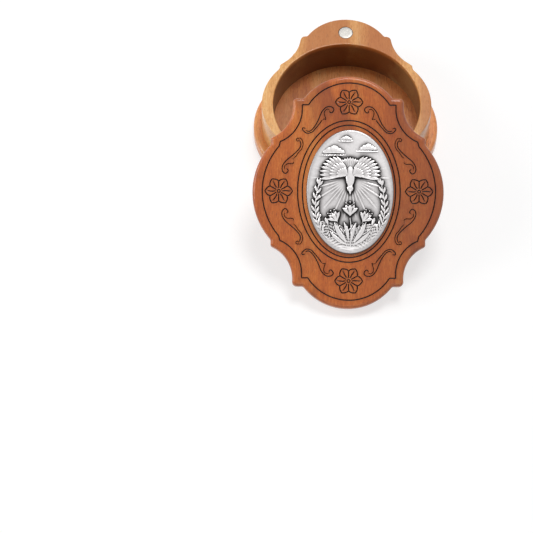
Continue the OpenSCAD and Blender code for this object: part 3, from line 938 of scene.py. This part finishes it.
def blade(x, y, degrees, length, width, height, base=0.0, fullest=0.5, bend=0.0, ribs=0.0):
    """A leaf, feather or petal from (x, y): crowned, pointed at both ends, fullest part way along."""
    along, across = local(x, y, degrees)
    t = np.clip(along / length, 0, 1)
    across = across - bend * length * t * (1 - t)
    half = width / 2 * np.sin(np.pi * t ** (math.log(0.5) / math.log(fullest))) ** 0.8 + 1e-6
    where = (along > 0) & (along < length) & (np.abs(across) < half)
    crown = np.sqrt(np.clip(1 - (across / half) ** 2, 0, 1))
    vein = 0.35 * np.exp(-(across / 0.09) ** 2) * (width > 0.9)
    barbs = ribs * np.sin(2 * np.pi * (along + 0.9 * np.abs(across)) / 0.42)
    lay(base + height * (crown * (1 - 0.4 * vein) + barbs * crown), where)


def ball(x, y, rx, ry, height, base=0.0, degrees=0.0):
    """A rounded lump."""
    along, across = local(x, y, degrees)
    d = (along / rx) ** 2 + (across / ry) ** 2
    lay(base + height * np.sqrt(np.clip(1 - d, 0, 1)), d < 1)


def through(points, count):
    """That many places on the smooth curve through a few points, as x and y."""
    t, knots = np.linspace(0, 1, count), np.linspace(0, 1, len(points))
    return [np.polyval(np.polyfit(knots, values, len(points) - 1), t) for values in zip(*points)]


def stem(points, width, height, base=0.0):
    """A round stem through points, which thins towards its last one."""
    count = int(7 * math.dist(points[0], points[-1])) + 12
    near = np.full_like(X, 1e9)
    for x, y, k in zip(*through(points, count), np.linspace(0, 1, count)):
        near = np.minimum(near, np.hypot(X - x, Y - y) / (width / 2 * (1 - 0.4 * k)))
    lay(base + height * np.sqrt(np.clip(1 - near ** 2, 0, 1)), near < 1)


# %% Rays
DOVE_Y, LILY_Y, RAYS, RAY_H = 5.5, -8.0, 44, 0.10
from_dove = np.hypot(X, Y - DOVE_Y)
around = np.arctan2(Y - DOVE_Y, X)
ray = np.clip(np.cos(around * RAYS) * 1.6 - 0.4, 0, 1) * np.clip((from_dove - 5) / 3, 0, 1)
ray *= np.clip((13.5 + 3.0 * np.cos(around * RAYS / 2) - from_dove) / 3, 0, 1)
ray *= np.clip(0.6 - 1.6 * np.sin(around), 0, 1)
lay(RAY_H * ray, ray > 0)
print("rays:", RAYS)

# %% Clouds
CLOUDS_AT = ((-6.6, 15.6, 8.2), (7.2, 17.0, 6.6), (-1.6, 20.9, 4.6))     # x, y and width
PUFFS = ((-0.37, 0.03, 0.16), (0.38, 0.02, 0.15), (-0.19, 0.10, 0.22), (0.21, 0.08, 0.20),
         (0.01, 0.15, 0.25))


def cloud(x, y, width):
    """Five puffs on a flat foot, the middle one in front, with a wisp of mist below."""
    foot = np.clip((Y - y + 0.05 * width) / 0.45, 0, 1)
    for k, (across, up, size) in enumerate(PUFFS):
        d = ((X - x - across * width) / size) ** 2 + ((Y - y - up * width) / (0.85 * size)) ** 2
        puff = np.clip(1 - d / width ** 2, 0, 1) ** 0.45
        lay((0.24 + 0.045 * k) * puff * foot, d < width ** 2)
    blade(x - 0.75 * width, y - 0.12 * width, 0, 1.4 * width, 0.6, 0.16)


for place in CLOUDS_AT:
    cloud(*place)
print("clouds:", len(CLOUDS_AT))

# %% Hills with furrows and grass
# Each hill's middle, half its width and height on the grid, and how high it stands
HILLS = ((-11, -19.5, 11, 7.5, 0.30), (10, -21, 12, 8, 0.34), (-2, -25.5, 15, 7.5, 0.42))
TUFTS = 230                     # blades of grass drawn by lot; those that miss the hills are left out
for k, (x, y, rx, ry, high) in enumerate(HILLS):
    d = ((X - x) / rx) ** 2 + ((Y - y) / ry) ** 2
    furrow = 0.05 * np.sin(2 * np.pi * (np.sqrt(d) * 7.0 + 0.25 * np.sin(X * 0.9 + k)))
    lay(0.06 * k + high * np.clip(1.35 - d, 0, 1) ** 0.35 * 0.8 + furrow * (d < 1), d < 1)
dice = np.random.default_rng(7)
for _ in range(TUFTS):
    x, y = dice.uniform(-14, 14), dice.uniform(-23, -14.5)
    if (x / 15) ** 2 + (y / 23) ** 2 < 1 and y < -14.2 - 0.02 * x * x:
        turn, length = 90 + dice.uniform(-32, 32), dice.uniform(1.0, 2.0)
        blade(x, y, turn, length, 0.42, 0.16, 0.24 + 0.012 * (-14 - y))
print("hills:", len(HILLS))

# %% Olive branches up both sides


def branch(side):
    """An olive branch: a curved stem with pairs of leaves and a fruit here and there."""
    ends = [(side * 6.0, -21.5), (side * 13.2, -12.0), (side * 12.6, 2.5)]
    stem(ends, 0.5, 0.26, 0.16)
    xs, ys = through(ends, 12)
    heading = np.degrees(np.arctan2(np.gradient(ys), np.gradient(xs)))
    for k in range(3, 12):
        for way in (-1, 1):
            turn = heading[k] + way * (36 - k)
            blade(xs[k], ys[k] + 0.3 * way, turn, 4.1 - 0.13 * k, 1.0, 0.34, 0.14, 0.5, way * 0.12)
    for k in (4, 6, 9):
        ball(xs[k] - side * 1.5, ys[k] + 1.2, 0.5, 0.62, 0.4, 0.12)
    blade(xs[-1], ys[-1], heading[-1], 3.0, 0.95, 0.34, 0.15)


branch(-1)
branch(1)
print(f"branches: relief up to {relief.max():.2f} mm")

# %% Lilies
# Each petal's turn, reach, width, bend and height. Reach and width are shares of the lily's length
LILY_PETALS = ((20, 0.86, 0.26, -0.1, 0.20), (-20, 0.86, 0.26, 0.1, 0.20), (42, 0.80, 0.26, -0.42, 0.30),
               (-42, 0.80, 0.26, 0.42, 0.30), (0, 0.80, 0.32, 0.0, 0.40))
for side in (-1, 1):
    stem([(side * 0.9, -22.5), (side * 3.4, -17.5), (side * 5.4, -12.8)], 0.62, 0.34, 0.22)
    blade(side * 1.3, -20.5, 90 - side * 32, 9.6, 2.1, 0.42, 0.24, 0.45, side * -0.22)
    blade(side * 1.0, -21.5, 90 - side * 52, 9.0, 1.8, 0.38, 0.22, 0.5, side * -0.28)
    blade(side * 0.6, -20.0, 90 - side * 14, 8.0, 1.5, 0.36, 0.22, 0.5, side * 0.18)
    stem([(side * 2.6, -18.5), (side * 7.2, -16.0), (side * 8.9, -13.3)], 0.45, 0.3, 0.2)
    blade(side * 8.7, -13.6, 90 - side * 22, 3.4, 1.3, 0.42, 0.2, 0.55)
stem([(0, -22.5), (0.5, -17.0), (0, -10.8)], 0.68, 0.36, 0.22)


def lily(x, y, degrees, length):
    """A trumpet lily seen from the side: a tube that opens in petals which curl outwards."""
    foot, low, throat, mouth = (
        polar((share - 0.5) * length, degrees, (x, y)) for share in (0, 0.14, 0.6, 0.8))
    blade(*foot, degrees, 0.75 * length, 0.30 * length, 0.4, 0.16, 0.75)
    for turn in (-30, 0, 30):
        stem([throat, mouth, polar(0.52 * length, degrees + turn, throat)], 0.3, 0.2, 0.3)
        ball(*polar(0.54 * length, degrees + turn, throat), 0.3, 0.3, 0.3, 0.36)
    for turn, reach, wide, bend, high in LILY_PETALS:
        blade(*low, degrees + turn, reach * length, wide * length, 0.40, high, 0.62, bend)


lily(0, LILY_Y, 90, 5.9)
lily(-6.0, LILY_Y - 2.75, 122, 5.4)
lily(6.0, LILY_Y - 2.75, 58, 5.4)
print(f"lilies: relief up to {relief.max():.2f} mm")

# %% The dove
# Three rows of feathers on each wing: count, first angle, angle between, length, width, base, ribs
FEATHERS = ((9, -6, 8.2, 11.6, 1.7, 0.14, 0.10), (8, -2, 9.5, 7.8, 1.45, 0.30, 0.08),
            (6, 2, 12, 4.8, 1.4, 0.44, 0.0))
for side in (-1, 1):
    for count, first, gap, length, width, base, ribs in FEATHERS:
        for k in range(count):
            turn = first + gap * k
            long = length * (1 - ((turn - 14) / 95) ** 2)
            blade(side * 0.9, DOVE_Y + 0.6 + 0.04 * k, 90 - side * (90 - turn), long, width, 0.34,
                  base + 0.018 * k, 0.68, side * 0.12, ribs)
for k in (-3, 3, -2, 2, -1, 1, 0):
    length, base = 5.4 - 0.12 * abs(k), 0.22 + 0.03 * (3 - abs(k))
    blade(0.25 * k, DOVE_Y + 3.0, 90 - 9.5 * k, length, 1.3, 0.3, base, 0.7, 0, 0.10)
ball(0, DOVE_Y + 0.5, 4.2, 1.8, 0.55, 0.36, 90)
ball(0, DOVE_Y - 2.0, 1.9, 1.25, 0.52, 0.36, 90)
ball(0, DOVE_Y - 4.3, 1.4, 1.25, 0.62, 0.36, 90)
blade(0, DOVE_Y - 5.3, -90, 1.7, 0.8, 0.34, 0.42, 0.4)
for side in (-1, 1):
    from_eye = np.hypot(X - side * 0.55, Y - (DOVE_Y - 4.35))
    relief -= 0.22 * np.exp(-(from_eye / 0.2) ** 2)
print(f"dove: relief up to {relief.max():.2f} mm")

# %% [markdown]
# ## The medallion: tarnish, painted shade and mesh
# Tarnish stays where a rubbing cloth doesn't reach: where the surface lies lower than its
# surroundings. Comparing the relief with blurred copies of itself finds those places. The relief
# fades out before the stamping's plain, rounded edge, and the face is slightly crowned. Down that
# edge the darkening grows towards the wood: tarnish at first, then painted shade at its foot.

# %% Tarnish


def blurred(field, reach):
    """Field averaged over a bell of that reach in grid steps."""
    side = int(3 * reach)
    bell = np.exp(-0.5 * (np.arange(-side, side + 1) / reach) ** 2)
    bell /= bell.sum()
    for axis in (0, 1):
        wide = np.pad(field, [(side, side) if a == axis else (0, 0) for a in (0, 1)], mode="edge")
        count = field.shape[axis]
        field = sum(w * np.take(wide, range(i, i + count), axis=axis) for i, w in enumerate(bell))
    return field


FADE_W, PRESSED, EDGE_TARNISH = 0.9, 0.85, 0.14
oval = np.sqrt((X / FACE_A) ** 2 + (Y / FACE_B) ** 2)
fade = np.clip((1 - oval) * FACE_A / FADE_W - 0.1, 0, 1)
relief = blurred(relief * fade * PRESSED, 0.6)
hollow = 9.0 * (blurred(relief, 1.4) - relief) + 3.4 * (blurred(relief, 5.0) - relief)
busy = blurred(np.abs(relief - blurred(relief, 3.0)), 7.0)
tarnish_and_shade = np.clip(hollow + 4.0 * busy + 0.02, 0, 1) * fade + EDGE_TARNISH * (1 - fade)
heights = EDGE_H + DOME * np.clip(1 - oval ** 2, 0, 1) ** 0.8 + relief
print(f"tarnish {tarnish_and_shade.mean():.2f} on average")

# %% The medallion's mesh
# The rounded edge from the grid's border down to the back: how far out, how high, how dark. The
# darkness is tarnish near the face and painted shade towards the foot, where the edge meets the wood
EDGE_ROWS = ((0.0, 0.0, 0.2), (0.25, EDGE_H - 0.03, 0.2), (0.45, EDGE_H - 0.14, 0.35),
             (0.56, EDGE_H - 0.3, 0.55), (EDGE_W, EDGE_H - 0.5, 0.75), (EDGE_W, 0.35, 0.9),
             (EDGE_W, 0.0, 1.0))
columns, rows = ACROSS + 1, UP + 1
grid_points = np.column_stack([(X + MEDAL_X).ravel(), Y.ravel(), LID_T + heights.ravel()])
grid_faces = [(r * columns + c, r * columns + c + 1, (r + 1) * columns + c + 1, (r + 1) * columns + c)
              for r in range(UP) for c in range(ACROSS)]
ids = np.arange(rows * columns).reshape(rows, columns)
border_ids = np.concatenate([ids[0, :-1], ids[:-1, -1], ids[-1, :0:-1], ids[:0:-1, 0]])
border = np.column_stack([X.ravel()[border_ids], Y.ravel()[border_ids]])
border_z = LID_T + heights.ravel()[border_ids]
edge = [(border * [(FACE_A + out) / FACE_A, (FACE_B + out) / FACE_B] + [MEDAL_X, 0], LID_T + z)
        for out, z, _ in EDGE_ROWS]
edge[0] = (edge[0][0], border_z)
n = len(border)
medal_patches = [(grid_points, grid_faces), stack(edge), (stack(edge[-1:])[0], [tuple(range(n))])]
# Darkness of the edge's rows: tarnish that grows into painted shade near the wood
medal_values = [tarnish_and_shade.ravel(), np.repeat([dark for _, _, dark in EDGE_ROWS], n), np.ones(n)]
medallion = solid("Medallion", medal_patches, silver, leaning, "tarnish_and_shade", medal_values, sharp=60)
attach(medallion, "lid")
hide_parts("medallion")

# %% [markdown]
# ## Floor, backdrop and light
# The box stands on a white table under broad soft lamps: the strongest above and behind, the next
# on the left, and two weak ones on the right and in front. The table is matt white, with a glow
# that only the camera and mirroring surfaces see, so it reads as white paper and still keeps the
# shadow. Further from the box it gives way to a plain white glow, which runs into the white of the
# world without an edge. From below it is clear, so that the underside can be looked at.

# %% The floor
REACH, BELOW = 3.0, 0.05 * MM      # half the table's width, and how far it lies under the box
NEAR_BOX, FAR_OFF = 0.3, 0.9       # metres from the middle, between which paper gives way to glow
GLOW = 0.655                       # what the paper gives off, beside the light that falls on it


def seen_directly(tree):
    """1 for rays from the camera and those that a mirror or glass sends on, and 0 for others."""
    rays = add(tree, "ShaderNodeLightPath").outputs
    either = add(tree, "ShaderNodeMath", {0: rays["Is Camera Ray"], 1: rays["Is Glossy Ray"]},
                 operation="MAXIMUM")
    return add(tree, "ShaderNodeMath", {0: either, 1: rays["Is Transmission Ray"]}, operation="MAXIMUM")


floor_mesh = bpy.data.meshes.new("White_table")
corners = [(x * REACH, y * REACH, -BELOW) for x, y in ((-1, -1), (1, -1), (1, 1), (-1, 1))]
floor_mesh.from_pydata(corners, [], [(0, 1, 2, 3)])
floor = bpy.data.objects.new("White_table", floor_mesh)
bpy.context.scene.collection.objects.link(floor)
paper, tree = finish_of("Matt_white_paper")
matt = add(tree, "ShaderNodeBsdfDiffuse", {"Color": tone("E8E8E8")})
shaded = add(tree, "ShaderNodeBsdfDiffuse", {"Color": tone("B0B0B0")})
glow = add(tree, "ShaderNodeEmission", {"Color": tone("FFFFFF"), "Strength": GLOW})
near = add(tree, "ShaderNodeAddShader", {0: shaded, 1: glow})
blank = add(tree, "ShaderNodeEmission", {"Color": tone("FFFFFF"), "Strength": 1.0})
place = add(tree, "ShaderNodeTexCoord").outputs["Object"]
away = add(tree, "ShaderNodeVectorMath", {0: place}, operation="LENGTH").outputs["Value"]
far = add(tree, "ShaderNodeMapRange", {"Value": away, "From Min": NEAR_BOX, "From Max": FAR_OFF},
          interpolation_type="SMOOTHSTEP")
shown = add(tree, "ShaderNodeMixShader", {0: far, 1: near, 2: blank})
chosen = add(tree, "ShaderNodeMixShader", {0: seen_directly(tree), 1: matt, 2: shown})
under = add(tree, "ShaderNodeNewGeometry").outputs["Backfacing"]
clear = add(tree, "ShaderNodeBsdfTransparent")
sided = add(tree, "ShaderNodeMixShader", {0: under, 1: chosen, 2: clear})
add(tree, "ShaderNodeOutputMaterial", {"Surface": sided})
floor_mesh.materials.append(paper)
print("floor:", floor.name, "of", paper.name)

# %% The world
world = bpy.data.worlds.new("Studio")
bpy.context.scene.world = world
world.use_nodes = True
sky = world.node_tree
sky.nodes.clear()
soft = add(sky, "ShaderNodeBackground", {"Color": tone("FFFFFF"), "Strength": 0.18})
white = add(sky, "ShaderNodeBackground", {"Color": tone("FFFFFF"), "Strength": 1.0})
mixed = add(sky, "ShaderNodeMixShader", {0: seen_directly(sky), 1: soft, 2: white})
add(sky, "ShaderNodeOutputWorld", {"Surface": mixed})
print("world:", world.name)

# %% The lamps
AIM = Vector((0, -0.03, 0.02))     # the middle of the box with its lid


def soft_lamp(name, place, size, power):
    """A broad square lamp aimed at the box."""
    light = bpy.data.lights.new(name, "AREA")
    light.shape, light.size, light.energy = "SQUARE", size, power
    made = bpy.data.objects.new(name, light)
    made.location = place
    made.rotation_euler = (AIM - Vector(place)).to_track_quat("-Z", "Y").to_euler()
    bpy.context.scene.collection.objects.link(made)


soft_lamp("Main_lamp", (0.18, 0.34, 1.18), 0.5, 7.8)
soft_lamp("Left_lamp", (-1.05, 0.02, 0.6), 0.6, 5.4)
soft_lamp("Right_lamp", (0.95, -0.1, 0.8), 0.7, 0.8)
soft_lamp("Front_lamp", (0.0, -1.05, 0.6), 0.7, 1.1)
print("lamps:", len(bpy.data.lights))
